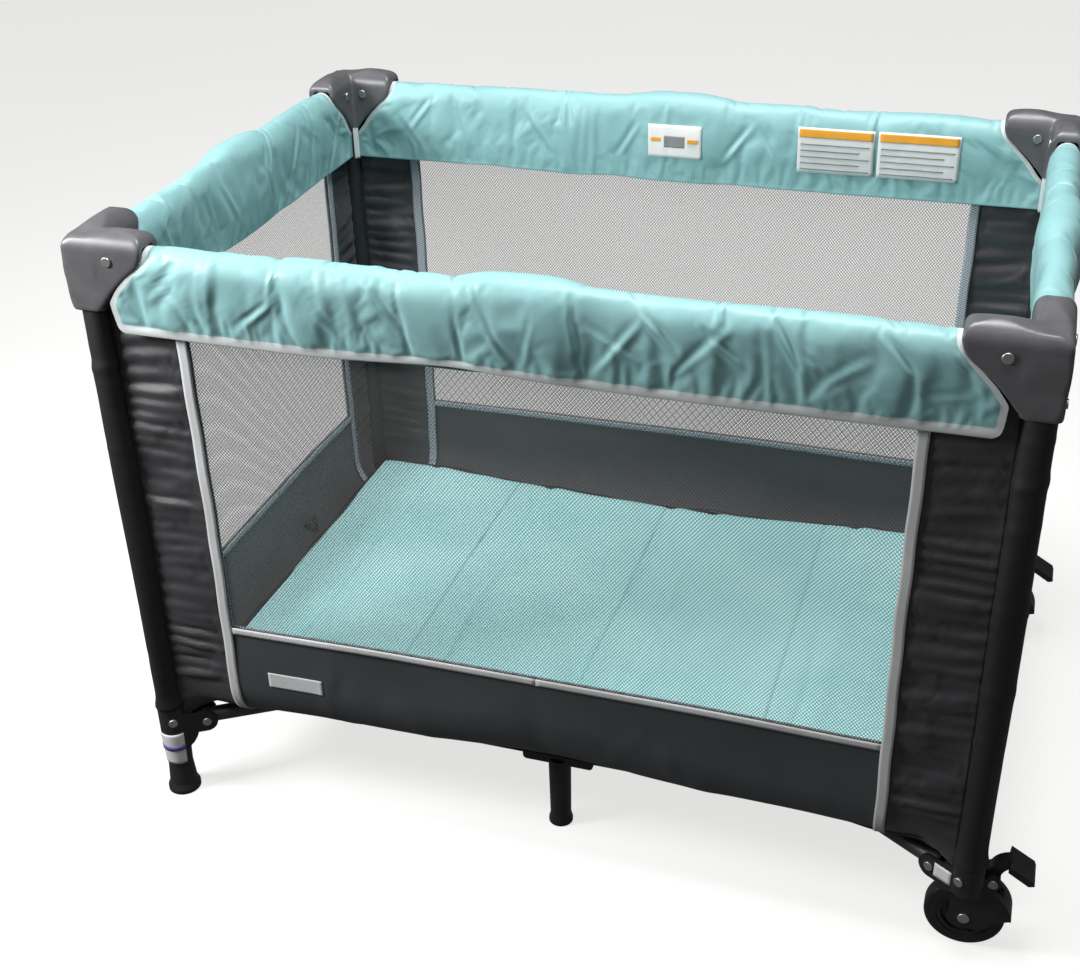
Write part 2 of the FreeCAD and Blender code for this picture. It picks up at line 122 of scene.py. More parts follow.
def places(side, t, n, z):
    """Many side_point places at once."""
    x, y, z = side_point(side, t, n, z)
    return stack(x + 0 * t, y + 0 * t, z + 0 * t)


def even_grid(first, rows, second, columns):
    """Two grids of evenly spaced values: one runs over the rows, the other over the columns."""
    return np.meshgrid(np.linspace(*first, rows), np.linspace(*second, columns), indexing="ij")


def smooth_step(x, low, high):
    """A share that eases from 0 at low to 1 at high."""
    k = np.clip((x - low) / (high - low), 0.0, 1.0)
    return k * k * (3 - 2 * k)


def hump(x, middle, width):
    """A bell curve, 1 high."""
    return np.exp(-(((x - middle) / width) ** 2))


def level_off(x, limit):
    """A value that can't pass a limit, above or below zero."""
    return limit * np.tanh(x / limit)


# ---- mesh helpers -------------------------------------------------------------------------
def add_object(name, data):
    piece = bpy.data.objects.new(name, data)
    bpy.context.scene.collection.objects.link(piece)
    return piece


def add_mesh(name, mesh):
    """A smooth-shaded object from a mesh."""
    mesh.polygons.foreach_set("use_smooth", [True] * len(mesh.polygons))
    return add_object(name, mesh)


def grid_piece(name, points, uv, materials, pick=None, close_u=False, close_v=False):
    """A quad grid from an array of shape (rows, columns, 3), with uv in metres."""
    rows, cols = points.shape[:2]
    mesh = bpy.data.meshes.new(name)
    faces = []
    span = cols if close_u else cols - 1
    for i in range(rows if close_v else rows - 1):
        below = (i + 1) % rows
        for j in range(span):
            k = (j + 1) % cols
            faces.append((i * cols + j, i * cols + k, below * cols + k, below * cols + j))
    mesh.from_pydata([tuple(p) for p in points.reshape(-1, 3)], [], faces)
    layer = mesh.uv_layers.new(name="UVMap")
    flat_uv = uv.reshape(-1, 2)
    for loop in mesh.loops:
        layer.data[loop.index].uv = flat_uv[loop.vertex_index]
    for material in materials:
        mesh.materials.append(material)
    if pick is not None:
        for index, face in enumerate(mesh.polygons):
            face.material_index = pick(index // span, index % span)
    return add_mesh(name, mesh)


def apply_modifiers(piece):
    """Bake a piece's modifiers into its mesh."""
    depsgraph = bpy.context.evaluated_depsgraph_get()
    mesh = bpy.data.meshes.new_from_object(piece.evaluated_get(depsgraph))
    piece.modifiers.clear()
    piece.data = mesh


def thicken(piece, thickness, offset=0.0):
    """Give a surface a thickness, on both sides of it or, with offset -1, inward."""
    modifier = piece.modifiers.new("Thickness", "SOLIDIFY")
    modifier.thickness = thickness
    modifier.offset = offset
    apply_modifiers(piece)


def face_outward(piece):
    """Turn every face of a closed piece outward."""
    mesh = bmesh.new()
    mesh.from_mesh(piece.data)
    bmesh.ops.recalc_face_normals(mesh, faces=mesh.faces)
    mesh.to_mesh(piece.data)
    mesh.free()


def tube_piece(name, path, radius, material, sides=10):
    """A round tube along a list of points, closed at both ends."""
    path = [Vector(p) for p in path]
    rings = []
    previous = None
    for i, point in enumerate(path):
        ahead = path[min(i + 1, len(path) - 1)] - path[max(i - 1, 0)]
        ahead.normalize()
        normal = previous or ahead.orthogonal()
        normal = (normal - ahead * normal.dot(ahead)).normalized()
        previous = normal
        side = ahead.cross(normal)
        rings.append([point + (normal * math.cos(a) + side * math.sin(a)) * radius
                      for a in (2 * math.pi * k / sides for k in range(sides))])
    mesh = bmesh.new()
    loops = [[mesh.verts.new(p) for p in ring] for ring in rings]
    for here, there in zip(loops, loops[1:]):
        for k in range(sides):
            mesh.faces.new((here[k], here[(k + 1) % sides], there[(k + 1) % sides], there[k]))
    mesh.faces.new(loops[0])
    mesh.faces.new(loops[-1])
    bmesh.ops.recalc_face_normals(mesh, faces=mesh.faces)
    data = bpy.data.meshes.new(name)
    mesh.to_mesh(data)
    mesh.free()
    data.materials.append(material)
    return add_mesh(name, data)


def wrinkles(along, across, count, size, width, slant, seed, reach=(0.3, 0.9)):
    """Soft creases over a grid: ridges at random places, each over part of the height."""
    rng = np.random.default_rng(seed)
    low, high = along.min(), along.max()
    height = np.zeros_like(along)
    for _ in range(count):
        place = rng.uniform(low, high)
        lean = rng.normal(0, slant)
        spread = width * rng.uniform(0.6, 1.5)
        middle = rng.uniform(0, 1)
        length = rng.uniform(*reach)
        window = hump(across, middle, length / 2)
        ridge = hump(along - place, lean * (across - middle), spread)
        height += size * rng.uniform(0.35, 1.0) * rng.choice([-0.7, 1.0]) * ridge * window
    return height


CLOTH = dict(quality=4, mass=0.2, tension_stiffness=12, compression_stiffness=12,
             shear_stiffness=6, bending_stiffness=0.4, tension_damping=12,
             compression_damping=12, air_damping=6)


def simulate(piece, pinned, growth, pressure, frames, cap):
    """Let cloth grow a little between its sewn edges, so that it buckles as gathered cloth does."""
    start = np.array([v.co for v in piece.data.vertices])
    group = piece.vertex_groups.new(name="pinned")
    group.add([int(i) for i in pinned], 1.0, "REPLACE")
    modifier = piece.modifiers.new("Cloth", "CLOTH")
    settings = modifier.settings
    for key, value in CLOTH.items():
        setattr(settings, key, value)
    settings.vertex_group_mass = "pinned"
    settings.shrink_min = -growth
    settings.use_pressure = pressure != 0
    settings.uniform_pressure_force = pressure
    settings.effector_weights.gravity = 0
    modifier.collision_settings.use_collision = False
    modifier.point_cache.frame_end = frames
    scene = bpy.context.scene
    for number in range(1, frames + 1):
        scene.frame_set(number)
    evaluated = piece.evaluated_get(bpy.context.evaluated_depsgraph_get())
    moved = np.array([v.co for v in evaluated.data.vertices]) - start
    size = np.linalg.norm(moved, axis=1)[:, None]
    moved *= level_off(size, cap) / np.maximum(size, 1e-9)
    piece.modifiers.clear()
    piece.vertex_groups.clear()
    scene.frame_set(1)
    piece.data.vertices.foreach_set("co", (start + moved).ravel())
    piece.data.update()


def refine(piece):
    """Round the surface off by one subdivision."""
    modifier = piece.modifiers.new("Refine", "SUBSURF")
    modifier.levels = 1
    modifier.render_levels = 1
    apply_modifiers(piece)


GIRTH = 0.19                       # metres round a rail cover's section, for its creases


def creases(t, across, lines, size, width):
    """Sharp creases along straight lines in a sheet. Each line is (t0, across0, t1, across1)."""
    height = np.zeros_like(t)
    for t0, a0, t1, a1 in lines:
        dx, dy = t1 - t0, (a1 - a0) * GIRTH
        length = math.hypot(dx, dy)
        ux, uy = dx / length, dy / length
        along = (t - t0) * ux + (across - a0) * GIRTH * uy
        off = -(t - t0) * uy + (across - a0) * GIRTH * ux
        k = np.clip(along / length, 0, 1)
        taper = np.sin(math.pi * k) ** 0.7
        near = hump(along, k * length, width)
        height += size * taper * near * (hump(off, 0, width) - 0.6 * hump(off, 1.9 * width, width))
    return height


# ---- materials ----------------------------------------------------------------------------
def new_material(name):
    material = bpy.data.materials.new(name)
    material.use_nodes = True
    tree = material.node_tree
    return material, tree, tree.nodes["Principled BSDF"]


def put(node, **inputs):
    """Set a node's inputs to values, or link them to other nodes' outputs."""
    for name, value in inputs.items():
        socket = node.inputs[name.replace("_", " ")]
        if isinstance(value, bpy.types.NodeSocket):
            node.id_data.links.new(value, socket)
        else:
            socket.default_value = value


def add_node(tree, kind, **inputs):
    node = tree.nodes.new("ShaderNode" + kind)
    put(node, **inputs)
    return node


def coordinates(tree, kind):
    return add_node(tree, "TexCoord").outputs[kind]


def ramp(tree, factor, *stops):
    """A colour that follows a factor between two stops of position and colour."""
    node = add_node(tree, "ValToRGB", Fac=factor)
    for element, (position, colour) in zip(node.color_ramp.elements, stops):
        element.position = position
        element.color = (*colour, 1)
    return node.outputs["Color"]


def noise(tree, vector, scale, detail):
    return add_node(tree, "TexNoise", Vector=vector, Scale=scale, Detail=detail).outputs["Fac"]


def colour_by_noise(tree, vector, scale, dark, light):
    return ramp(tree, noise(tree, vector, scale, 4.0), (0.35, dark), (0.65, light))


def wave(tree, vector, direction, pitch):
    """A wave texture of a given pitch. Blender's own repeats every 2*pi/20 at scale 1."""
    node = add_node(tree, "TexWave", Vector=vector, Scale=2 * math.pi / 20 / pitch)
    node.bands_direction = direction
    return node.outputs["Fac"]


def maths(tree, operation, *values):
    node = add_node(tree, "Math")
    node.operation = operation
    for socket, value in zip(node.inputs, values):
        if isinstance(value, (int, float)):
            socket.default_value = value
        else:
            tree.links.new(value, socket)
    return node.outputs[0]


def crossed_lines(tree, uv, rate_u, rate_v):
    """Two sets of slanting lines: 0 on a line, rising to 1 between them."""
    parts = add_node(tree, "SeparateXYZ", Vector=uv)
    u = maths(tree, "MULTIPLY", parts.outputs[0], rate_u)
    v = maths(tree, "MULTIPLY", parts.outputs[1], rate_v)
    slants = [maths(tree, "ABSOLUTE", maths(tree, "SINE", maths(tree, way, u, v)))
              for way in ("ADD", "SUBTRACT")]
    return maths(tree, "MINIMUM", *slants)


def relief(tree, height, strength, distance):
    node = add_node(tree, "Bump", Height=height, Strength=strength, Distance=distance)
    return node.outputs["Normal"]


def cloth_material(name, dark, light, pitch, roughness, sheen, bump=0.4, ribbed=False, vary=9.0):
    """Woven cloth: two crossed waves of the thread pitch, with slow changes of colour."""
    material, tree, shader = new_material(name)
    uv = coordinates(tree, "UV")
    warp, weft = (wave(tree, uv, direction, pitch) for direction in "XY")
    weave = maths(tree, "MULTIPLY", warp, weft)
    if ribbed:
        weave = maths(tree, "ADD", maths(tree, "MULTIPLY", warp, 0.3),
                      maths(tree, "MULTIPLY", weft, 0.7))
    shade = add_node(tree, "Mix")
    shade.data_type = "RGBA"
    shade.blend_type = "MULTIPLY"
    put(shade, Factor=0.35)
    tree.links.new(colour_by_noise(tree, uv, vary, dark, light), shade.inputs[6])
    tree.links.new(ramp(tree, weave, (0, (0.55, 0.55, 0.55)), (1, (1, 1, 1))), shade.inputs[7])
    put(shader, Base_Color=shade.outputs[2], Roughness=roughness, Sheen_Weight=sheen,
        Sheen_Roughness=0.4, Normal=relief(tree, weave, bump, 0.0006))
    return material


def net_material(name, colour, pitch, solid, contrast=0.62):
    """See-through netting: diamond holes on the piece's own uv, eased towards their mean."""
    material, tree, shader = new_material(name)
    uv = coordinates(tree, "UV")
    rate = math.pi / pitch
    thread = maths(tree, "LESS_THAN", crossed_lines(tree, uv, rate, rate * 0.8), solid)
    cover = 1 - (1 - 2 / math.pi * math.asin(solid)) ** 2
    swing = maths(tree, "MULTIPLY", maths(tree, "SUBTRACT", thread, cover), contrast)
    put(shader, Alpha=maths(tree, "ADD", swing, cover), Roughness=0.65,
        Base_Color=colour_by_noise(tree, uv, 14.0, tuple(c * 0.85 for c in colour), colour))
    return material


def plastic_material(name, dark, light, roughness, grain=900.0, bump=0.12):
    """Moulded plastic with a fine grain and slightly uneven gloss."""
    material, tree, shader = new_material(name)
    place = coordinates(tree, "Object")
    gloss = add_node(tree, "MapRange", Value=noise(tree, place, 60.0, 3.0),
                     To_Min=roughness - 0.07, To_Max=roughness + 0.09)
    put(shader, Base_Color=colour_by_noise(tree, place, 35.0, dark, light),
        Roughness=gloss.outputs[0],
        Normal=relief(tree, noise(tree, place, grain, 2.0), bump, 0.0004))
    return material


def metal_material(name, dark, light, roughness, metallic):
    material = plastic_material(name, dark, light, roughness, grain=1500.0, bump=0.05)
    put(material.node_tree.nodes["Principled BSDF"], Metallic=metallic)
    return material


def trim_material(name, dark, light):
    """Overlocked edging: light stitches over a dark tape."""
    material, tree, shader = new_material(name)
    stitch = crossed_lines(tree, coordinates(tree, "UV"), math.pi / 0.0060, math.pi / 0.0032)
    put(shader, Base_Color=ramp(tree, stitch, (0.30, light), (0.45, dark)), Roughness=0.7)
    return material


TEAL = cloth_material("cover_fabric", (0.255, 0.49, 0.50), (0.29, 0.545, 0.555), 0.0009, 0.50,
                      0.05, bump=0.12)
PAD = cloth_material("mattress_fabric", (0.42, 0.80, 0.81), (0.52, 0.90, 0.91), 0.0042, 0.75, 0.1,
                     bump=0.6, ribbed=True, vary=7.0)
PANEL = cloth_material("panel_fabric", (0.038, 0.038, 0.042), (0.050, 0.049, 0.054), 0.0012, 0.42, 0.10)
BAND = cloth_material("band_fabric", (0.044, 0.050, 0.055), (0.055, 0.062, 0.068), 0.0012, 0.60, 0.06)
SLEEVE = cloth_material("sleeve_fabric", (0.006, 0.006, 0.007), (0.010, 0.010, 0.012), 0.0014,
                        0.50, 0.04)
TAPE = cloth_material("light_tape", (0.56, 0.57, 0.57), (0.68, 0.69, 0.70), 0.0008, 0.7, 0.1)
WHITE_TAPE = cloth_material("white_tape", (0.62, 0.67, 0.67), (0.76, 0.80, 0.80), 0.0008, 0.6, 0.1)
GREY_TAPE = trim_material("grey_tape", (0.12, 0.14, 0.16), (0.50, 0.55, 0.60))
NET = net_material("netting", (0.090, 0.089, 0.085), 0.0038, 0.41)
CASTING = plastic_material("casting_plastic", (0.088, 0.088, 0.094), (0.112, 0.112, 0.119), 0.36)
BRACKET = plastic_material("bracket_plastic", (0.012, 0.012, 0.013), (0.020, 0.020, 0.021), 0.38)
TYRE = plastic_material("tyre_plastic", (0.010, 0.010, 0.011), (0.017, 0.017, 0.018), 0.36)
BUTTON = plastic_material("button_plastic", (0.42, 0.03, 0.03), (0.5, 0.04, 0.04), 0.4)
STEEL = metal_material("steel_tube", (0.075, 0.08, 0.085), (0.10, 0.105, 0.11), 0.45, 0.6)
RIVET = metal_material("rivet_steel", (0.42, 0.43, 0.42), (0.55, 0.56, 0.55), 0.38, 0.9)
LABEL, LABEL_ORANGE, LABEL_GREY, LABEL_VIOLET = (
    cloth_material("label_" + name, dark, light, 0.0006, roughness, 0.0, bump=0.05)
    for name, dark, light, roughness in (
        ("white", (0.80, 0.81, 0.80), (0.86, 0.87, 0.86), 0.5),
        ("orange", (0.80, 0.36, 0.03), (0.86, 0.40, 0.04), 0.5),
        ("grey", (0.22, 0.23, 0.24), (0.28, 0.29, 0.30), 0.6),
        ("violet", (0.16, 0.12, 0.40), (0.20, 0.15, 0.46), 0.6),
    ))


def paint_cad_nodes():
    """Give every carried-over CAD node its own finish."""
    looks = (
        ("fasteners", RIVET), ("hub_pins", RIVET), ("corner_casting", CASTING), ("leg_", STEEL),
        ("rail_cover", TEAL), ("rail_", STEEL), ("base_tube", STEEL), ("middle_arm", STEEL),
        ("tyre", TYRE), ("latch_button", BUTTON), ("mattress", PAD), ("tub", PANEL),
    )
    for name, node in frame["nodes"].items():
        finish = next((look for start, look in looks if name.startswith(start)), BRACKET)
        node.data.materials.clear()
        node.data.materials.append(finish)
        if name.startswith("corner_casting"):
            skin = node.modifiers.new("Moulded skin", "REMESH")
            skin.mode = "VOXEL"
            skin.voxel_size = 0.0016
            skin.use_smooth_shade = True
            soften = node.modifiers.new("Soft edges", "SMOOTH")
            soften.factor = 0.6
            soften.iterations = 14


# ---- rail covers --------------------------------------------------------------------------
HEM_OUT = 0.627
HEM_IN = 0.619
SECTION = (                        # outward and height, from the outer hem over to the inner
    (0.0120, HEM_OUT), (0.0150, 0.646), (0.0180, 0.668), (0.0188, 0.690), (0.0170, 0.708),
    (0.0102, 0.7203), (0.0, 0.7241), (-0.0100, 0.7203), (-0.0164, 0.708), (-0.0176, 0.690),
    (-0.0160, 0.666), (-0.0135, 0.642), (-0.0120, HEM_IN),
)
OUTER_END = (                      # height, and distance from the leg axis to the cover's end
    (0.6270, 0.0430), (0.6282, 0.0375), (0.6308, 0.0335), (0.6355, 0.0305), (0.6430, 0.0290),
    (0.6640, 0.0275), (0.6800, 0.0385), (0.6940, 0.0525), (0.7060, 0.0645), (0.7160, 0.0717),
    (0.7400, 0.0727),
)
INNER_END = (
    (0.6000, 0.0165), (0.6530, 0.0170), (0.6620, 0.0270), (0.6800, 0.0400), (0.6940, 0.0540),
    (0.7060, 0.0655), (0.7160, 0.0720), (0.7400, 0.0730),
)
MIDDLE = 0.050                     # half the part of the cover that stays with the latch
BINDING = 0.0095
RAIL_CLEAR = 0.0128                # rail axis to the nearest part of a cover's face
LINING = 0.0040                    # padding between the cover's face and its lining
SEAM = 0.0030                      # width of the white seam along the inner hem
LIFT_LIMIT = 0.0040                # creases level off at this height
FACE_ROWS = 54
LINING_ROWS = 12


def section_curve():
    """Rows along a smooth curve through SECTION, then back inside it, with outward directions."""
    raw = np.array(SECTION)
    dense = []
    for i in range(len(raw) - 1):
        before = raw[max(i - 1, 0)]
        after = raw[min(i + 2, len(raw) - 1)]
        for s in np.linspace(0, 1, 12, endpoint=False):
            dense.append(0.5 * ((2 * raw[i]) + (raw[i + 1] - before) * s
                                + (2 * before - 5 * raw[i] + 4 * raw[i + 1] - after) * s ** 2
                                + (3 * raw[i] - before - 3 * raw[i + 1] + after) * s ** 3))
    dense.append(raw[-1])
    dense = np.array(dense)
    length = np.concatenate([[0], np.cumsum(np.linalg.norm(np.diff(dense, axis=0), axis=1))])
    total = length[-1]
    even = np.concatenate([np.linspace(0, total, FACE_ROWS),
                           np.linspace(total - LINING, LINING, LINING_ROWS)])
    curve = np.stack([np.interp(even, length, dense[:, k]) for k in (0, 1)], 1)
    slope = np.stack([np.interp(even, length, np.gradient(dense[:, k], length)) for k in (0, 1)], 1)
    normal = np.stack([slope[:, 1], -slope[:, 0]], 1)
    normal /= np.linalg.norm(normal, axis=1)[:, None]
    curve[FACE_ROWS:] -= normal[FACE_ROWS:] * LINING
    return curve, normal, even, total


DIAGONALS = (                      # sharp creases of a long cover, as (t0, share0, t1, share1)
    (-0.30, 0.10, -0.26, 0.24), (-0.23, 0.36, -0.19, 0.12), (-0.16, 0.40, -0.125, 0.20),
    (-0.05, 0.42, -0.015, 0.10), (0.005, 0.08, 0.020, 0.34), (0.045, 0.44, 0.055, 0.16),
    (0.075, 0.10, 0.120, 0.36), (0.060, 0.30, 0.118, 0.16), (0.100, 0.46, 0.150, 0.22),
    (0.150, 0.12, 0.205, 0.38), (0.170, 0.34, 0.215, 0.20), (0.235, 0.42, 0.262, 0.22),
    (0.285, 0.16, 0.330, 0.30), (0.330, 0.40, 0.362, 0.24), (0.372, 0.14, 0.418, 0.18),
    (-0.395, 0.30, -0.345, 0.12), (-0.385, 0.44, -0.370, 0.26), (-0.31, 0.60, -0.27, 0.84),
    (-0.10, 0.62, -0.06, 0.86), (0.05, 0.66, 0.08, 0.88), (0.21, 0.60, 0.17, 0.86),
    (0.34, 0.62, 0.38, 0.84), (0.395, 0.64, 0.355, 0.90),
)


def cover_grid(side, seed):
    """The whole padded cover of one rail, as a grid over its length and its section."""
    half = SIDES[side]["half"]
    columns = int(2 * half / 0.0036)
    curve, normal, run, total = section_curve()
    share_row = run / total
    outer = np.interp(curve[:, 1], *zip(*OUTER_END))
    inner = np.interp(curve[:, 1], *zip(*INNER_END))
    gaps = np.where(share_row < 0.5, outer, inner)
    gaps[FACE_ROWS:] += 0.0015
    u = np.linspace(-1, 1, columns)
    t = u[None, :] * (half - gaps)[:, None]
    share = np.repeat(share_row[:, None], columns, 1)
    taut = 1 - smooth_step(np.abs(t), half - 0.125, half - 0.075)
    left = 1 - smooth_step(t / half, -0.15, 0.25)
    upright = wrinkles(t, share, int(half * 120), 0.0026, 0.0050, 0.035, seed, (0.25, 0.7))
    slanted = wrinkles(t, share, int(half * 60), 0.0020, 0.0036, 0.09, seed + 1, (0.15, 0.4))
    broad = wrinkles(t, share, int(half * 12), 0.0026, 0.028, 0.03, seed + 2, (0.6, 1.4))
    lift = upright * (0.5 + 0.5 * left) + slanted * (1 - 0.5 * left) + broad
    hems = wrinkles(t, share * 0, int(half * 150), 0.0017, 0.0045, 0.0, seed + 4)
    lift += hems * (hump(share, 0.085, 0.045) + hump(share, 0.95, 0.035))
    stretch = half / POST_X
    lines = [(a * stretch, b, c * stretch, d) for a, b, c, d in DIAGONALS]
    if side in ("back", "right"):
        lines = [(-a, b, -c, d) for a, b, c, d in lines]
    lift += creases(t, share, lines, 0.0024, 0.0030)
    lift = level_off(lift, LIFT_LIMIT) * (0.30 + 0.70 * taut)
    lift *= 1 - 0.45 * hump(share, 0.46, 0.13)
    hem = smooth_step(share, 0.03, 0.10) * (0.4 + 0.6 * smooth_step(1 - share, 0.0, 0.05))
    white = (run < BINDING) | (run > total - SEAM)
    lift = lift * (0.15 + 0.85 * hem) + np.where(white, 0.0009, 0.0)[:, None]
    lift[FACE_ROWS:] = 0.0
    bulge = np.exp(-((t / 0.055) ** 4))
    wide = 1 + 0.34 * bulge - 0.08 * (1 - taut)
    lift = lift * (1 - 0.6 * bulge)
    n = curve[:, 0][:, None] * wide + normal[:, 0][:, None] * lift
    z = curve[:, 1][:, None] + normal[:, 1][:, None] * lift
    z = z + 0.007 * bulge * smooth_step(curve[:, 1], 0.695, 0.712)[:, None]
    hang = wrinkles(t, share * 0, int(half * 22), 0.0026, 0.035, 0.0, seed + 3) * taut
    z += hang * (np.exp(-share * 14) + np.exp(-(1 - share) * 14))
    z += 0.0075 * hump(t, -0.06, 0.10) * np.exp(-share * 10) * (half > LONG)
    uv = stack(t, np.repeat(run[:, None], columns, 1))
    return places(side, t, n, z), uv, run


def clear_rail(piece, side, across, count):
    """Push the first vertices of a cover, its face, out of the rail it runs over."""
    points = np.array([v.co for v in piece.data.vertices])
    axis = side_point(side, 0, 0, RAIL_Z)[across]
    out = points[:, across] - axis
    up = points[:, 2] - RAIL_Z
    reach = np.hypot(out, up)
    near = (up > 0) & (reach < RAIL_CLEAR)
    near[count:] = False
    grow = np.where(near, RAIL_CLEAR / np.maximum(reach, 1e-6), 1.0)
    points[:, across] = axis + out * grow
    points[:, 2] = RAIL_Z + up * grow
    piece.data.vertices.foreach_set("co", points.ravel())
    piece.data.update()


def rail_cover(side, seed):
    """A padded cover, gathered by simulation, then cut where the rail folds."""
    points, uv, run = cover_grid(side, seed)
    axis, middle = SIDES[side]["axis"], SIDES[side]["middle"]
    low_end, high_end = SIDES[side]["ends"]
    rows, columns = points.shape[:2]
    total = run.max()

    def pick(i, j):
        if i >= FACE_ROWS:
            return 0
        at_end = (j < 2 or j > columns - 4) and run[i] < 0.84 * total
        return 1 if run[i] < BINDING or at_end else 0

    whole = grid_piece("rail_cover_whole", points, uv, [TEAL, WHITE_TAPE], pick, close_v=True)
    face_outward(whole)
    held = np.zeros((rows, columns), bool)
    held[run < BINDING + 0.002] = True
    held[run > total - 2 * SEAM] = True
    held[FACE_ROWS:] = True
    held[:, :3] = True
    held[:, -3:] = True
    simulate(whole, np.flatnonzero(held), growth=0.045, pressure=0.4, frames=11, cap=0.0028)
    clear_rail(whole, side, 1 - axis, FACE_ROWS * columns)
    refine(whole)
    anchor = side_point(side, 0, 0, RAIL_Z)
    SURFACES[side] = BVHTree.FromObject(whole, bpy.context.evaluated_depsgraph_get())
    for part, name in ((-1, low_end), (0, "middle"), (1, high_end)):
        piece = part_of(whole, "rail_cover_" + side + "_" + name, axis, middle, part, MIDDLE)
        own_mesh(piece)
        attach(piece, "rail_" + side + "_" + name if part else "latch_" + side)
        if part == 0:
            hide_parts("rail_cover_" + side)
    bpy.data.objects.remove(whole)


def part_of(whole, name, axis, centre, part, reach=0.0):
    """Cut the low (-1), middle (0) or high (1) part out of a piece, keeping its shading."""
    source = whole.data
    normals = [v.normal.copy() for v in source.vertices]
    keep = []
    for face in source.polygons:
        place = face.center[axis] - centre
        if (0 if abs(place) < reach else (1 if place > 0 else -1)) == part:
            keep.append(face)
    used = sorted({v for face in keep for v in face.vertices})
    index = {v: k for k, v in enumerate(used)}
    mesh = bpy.data.meshes.new(name)
    mesh.from_pydata([source.vertices[v].co for v in used], [],
                     [[index[v] for v in face.vertices] for face in keep])
    layer = mesh.uv_layers.new(name="UVMap")
    old = source.uv_layers[0].data
    cursor = 0
    for new_face, face in zip(mesh.polygons, keep):
        new_face.material_index = face.material_index
        for loop in face.loop_indices:
            layer.data[cursor].uv = old[loop].uv
            cursor += 1
    for material in source.materials:
        mesh.materials.append(material)
    piece = add_mesh(name, mesh)
    mesh.normals_split_custom_set_from_vertices([normals[v] for v in used])
    return piece


def inner_corner_strip(corner):
    """The white tape that joins two covers at the inside of a corner."""
    sign_x, sign_y = CORNERS[corner]
    width = 0.0052                 # each way from the corner
    z, a = even_grid((HEM_IN + 0.001, 0.664), 16, (-1, 1), 9)
    inward = 0.0168 + 0.0022 * (1 - a ** 2)
    x = CX + sign_x * (POST_X - inward - width * np.clip(a, 0, 1))
    y = sign_y * (POST_Y - inward + width * np.clip(a, -1, 0))
    piece = grid_piece("corner_strip_" + corner, stack(x, y, z), stack(a * 0.005, z), [WHITE_TAPE])
    thicken(piece, 0.0012)
    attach(piece, "leg_" + corner)


# ---- leg sleeves --------------------------------------------------------------------------
def leg_sleeve(corner):
    """The fabric sleeve of a leg, with folds and a gathered hem at its foot."""
    sign_x, sign_y = CORNERS[corner]
    low, high = 0.1295, 0.654
    z, a = np.meshgrid(np.linspace(low, high, 150),
                       np.linspace(0, 2 * math.pi, 48, endpoint=False), indexing="ij")
    share = (z - low) / (high - low)
    seed = 40 + list(CORNERS).index(corner)
    radius = 0.0158 + 0.0006 * np.sin(3 * a + 4 * share) + 0.0004 * np.sin(2 * a - 9 * share)
    radius += 0.0011 * hump(z, low, 0.006) + 0.0016 * hump(z, low, 0.012)
    radius += wrinkles(z, a / (2 * math.pi), 26, 0.0010, 0.006, 0.02, seed, (0.2, 0.6))
    radius += 0.0012 * hump(z, 0.585 + 0.004 * np.cos(a), 0.007)
    points = stack(CX + sign_x * POST_X + radius * np.cos(a),
                   sign_y * POST_Y + radius * np.sin(a), z)
    uv = stack(a * 0.0158, z)
    piece = grid_piece("leg_sleeve_" + corner, points, uv, [SLEEVE], close_u=True)
    thicken(piece, 0.0009, -1.0)
    face_outward(piece)
    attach(piece, "leg_" + corner)


# ---- tub walls ----------------------------------------------------------------------------
TAPE_EDGE = ((0.13, 0.091), (0.40, 0.0935), (0.72, 0.0905))  # height, from leg axis
SHORT_SHARE = 0.80                 # such distances on a short side, as a share
BAND_TOP = {"front": 0.261, "back": 0.245, "left": 0.247, "right": 0.247}
WALL_TOP = 0.700                   # netting, up inside a rail cover
PANEL_TOP = 0.668                  # corner panels and side tapes
PANEL_START = 0.0150               # from the leg axis
PANEL_RIPPLE = 0.0042              # ripples level off at this height
TAPE_WIDTH = 0.0118
OFF_WALL = 0.0004                  # netting and bands stand this far outside the leg axes
TURN_DEPTH = (0.052, 0.075)        # how far the lower edge turns in, at a leg and at mid side
TURN_START = (0.172, 0.205)        # height where it starts to turn in


def by_side(distance, half):
    """A distance along a long side, or its smaller equal along a short one."""
    return distance * (1.0 if half > LONG else SHORT_SHARE)


def tape_line(z, half):
    """Distance from the leg axis to the outer edge of the vertical tape."""
    return by_side(np.interp(z, *zip(*TAPE_EDGE)), half)


def wall_lines(s, half, top, rows):
    """Outward and height down a wall at each s: straight, then turned in under the floor."""
    middle = smooth_step(s, 0.06, half) if half > LONG else 0 * s
    turn = TURN_START[0] + (TURN_START[1] - TURN_START[0]) * middle
    k = np.linspace(0, 1, rows)[:, None]
    z = top + (turn[None, :] - top) * k
    angle = np.linspace(0, math.pi / 2, 11)[1:, None]
    depth = TURN_DEPTH[0] + (TURN_DEPTH[1] - TURN_DEPTH[0]) * middle
    depth = (depth * smooth_step(s, 0.012, 0.06))[None, :]
    low_n = -depth * (1 - np.cos(angle))
    low_z = turn[None, :] - (turn - FLOOR_Z)[None, :] * np.sin(angle)
    return np.concatenate([0 * z, low_n]), np.concatenate([z, low_z])


def run_down(n, z):
    """Distance travelled down each column of a wall."""
    steps = np.hypot(np.diff(n, axis=0), np.diff(z, axis=0))
    return np.concatenate([np.zeros((1, n.shape[1])), np.cumsum(steps, axis=0)])


def wall_place(side, sign, s, n, z):
    """A place on a wall, with s the distance from the leg axis towards the side's middle."""
    return places(side, sign * (SIDES[side]["half"] - s), n + OFF_WALL, z)


